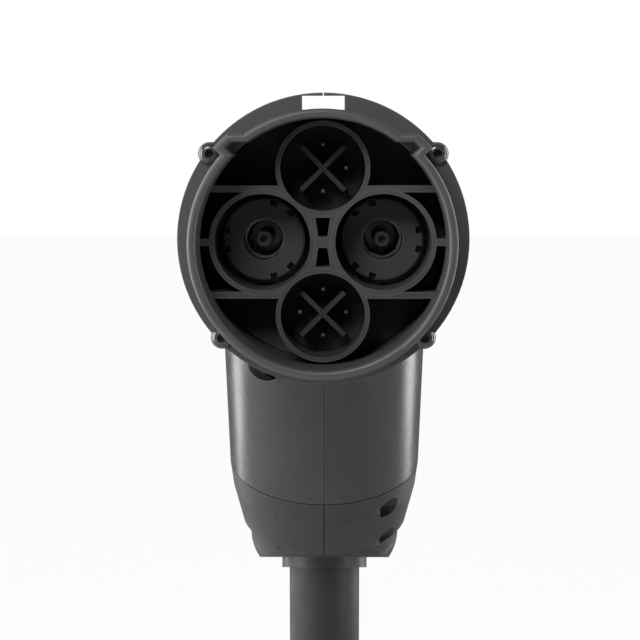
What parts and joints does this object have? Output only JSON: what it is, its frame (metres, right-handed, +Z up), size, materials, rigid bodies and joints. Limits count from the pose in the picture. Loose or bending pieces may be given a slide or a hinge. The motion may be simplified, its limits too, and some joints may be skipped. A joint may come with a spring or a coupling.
{
  "type": "ev charging plug",
  "caption": "Direct-current vehicle charging plug: keyed round nose with power and signal sockets, angled two-part handle, latch lever and coiled lead.",
  "frame": {"origin": "on the nose axis, in the front face of the collar that the nose stands on", "axes": "-Y out of the nose, +Z up, +X to the right seen from the front; the handle leans back from straight down"},
  "size_m": [0.3392, 0.5296, 0.3656],
  "materials": {
    "shell_plastic": "satin, fine moulded grain",
    "nose_plastic": "satin, smooth",
    "carrier_plastic": "matt",
    "insulator_plastic": "satin",
    "insert_plastic": "matt",
    "rubber_black": "matt",
    "cable_sheath": "matt",
    "contact_metal": "silver plated",
    "steel": "plated",
    "black_steel": "black oxide",
    "core_red": "smooth",
    "core_black": "smooth"
  },
  "bodies": {
    "plug": {"nose_shell": "nose_plastic", "contact_carrier": "carrier_plastic", "carrier_webs": "carrier_plastic", "power_well_left": "carrier_plastic", "power_well_right": "carrier_plastic", "signal_well_top": "carrier_plastic", "signal_well_bottom": "carrier_plastic", "carrier_seal": "rubber_black", "rear_retainer": "insulator_plastic", "power_insulator_left": "insulator_plastic", "power_insulator_right": "insulator_plastic", "power_contact_left": "contact_metal", "power_contact_right": "contact_metal", "finger_guard_left": "insulator_plastic", "finger_guard_right": "insulator_plastic", "signal_insert_top": "insert_plastic", "signal_insert_bottom": "insert_plastic", "signal_pins_top": "contact_metal", "signal_pins_bottom": "contact_metal", "housing_left": "shell_plastic", "housing_right": "shell_plastic", "latch_pin": "steel", "latch_spring": "steel", "lock_solenoid": "steel", "end_cap_left": "shell_plastic", "end_cap_right": "shell_plastic", "cable_gland": "shell_plastic", "cable_clamp": "steel", "clamp_screws": "steel", "collar_screws": "black_steel", "housing_screws": "black_steel", "end_cap_screws": "black_steel", "power_core_left": "core_red", "power_core_right": "core_black", "signal_harness": "core_black", "charge_cable": "cable_sheath", "cable_coil": "cable_sheath", "coil_ties": "rubber_black", "cable_tail": "cable_sheath", "cable_end_cap": "rubber_black"},
    "latch": {"latch_lever": "insulator_plastic"}
  },
  "joints": [
    {"name": "latch_hinge", "type": "hinge", "parent": "plug", "child": "latch", "pos_m": [0, 0.035, 0.031], "axis": [-1, 0, 0], "range_deg": [0, 8], "stiffness_Nm_per_rad": 0.12, "springref_deg": -8.59, "deforming": ["latch_spring"]}
  ]
}
